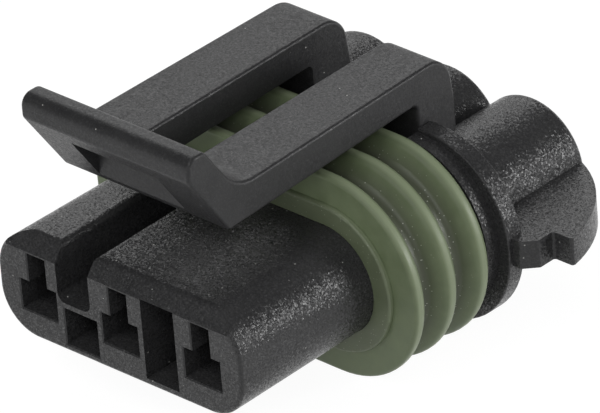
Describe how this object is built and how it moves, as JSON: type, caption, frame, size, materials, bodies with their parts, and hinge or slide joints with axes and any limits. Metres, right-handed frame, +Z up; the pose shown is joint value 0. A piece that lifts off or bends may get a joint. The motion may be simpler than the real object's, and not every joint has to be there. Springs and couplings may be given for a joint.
{
  "type": "sealed wiring loom connector",
  "caption": "Sealed plastic plug connector for a wiring loom, with a sprung lever latch on top, a ribbed ring seal around the nose, round cable towers at the rear and side barbs.",
  "frame": {"origin": "middle of the bounding box at its bottom, on the surface that the ring seal rests on", "axes": "+X across the row of cavities, -Y out of the mating face, +Y out of the cable towers, +Z up to the latch"},
  "size_m": [0.024, 0.0222, 0.015],
  "materials": {
    "housing_plastic": "fine spark-eroded grain, satin",
    "seal_rubber": "satin",
    "terminal_metal": "satin"
  },
  "bodies": {
    "housing": {"housing": "housing_plastic", "ring_seal": "seal_rubber", "cable_seal_left": "seal_rubber", "cable_seal_middle": "seal_rubber", "cable_seal_right": "seal_rubber", "terminal_left": "terminal_metal", "terminal_middle": "terminal_metal", "terminal_right": "terminal_metal"},
    "latch": {"latch": "housing_plastic"}
  },
  "joints": [
    {"name": "latch_flex", "type": "hinge", "parent": "housing", "child": "latch", "pos_m": [0, 0.0058, 0.00859], "axis": [-1, 0, 0], "range_deg": [0, 7], "stiffness_Nm_per_rad": 0.8}
  ]
}
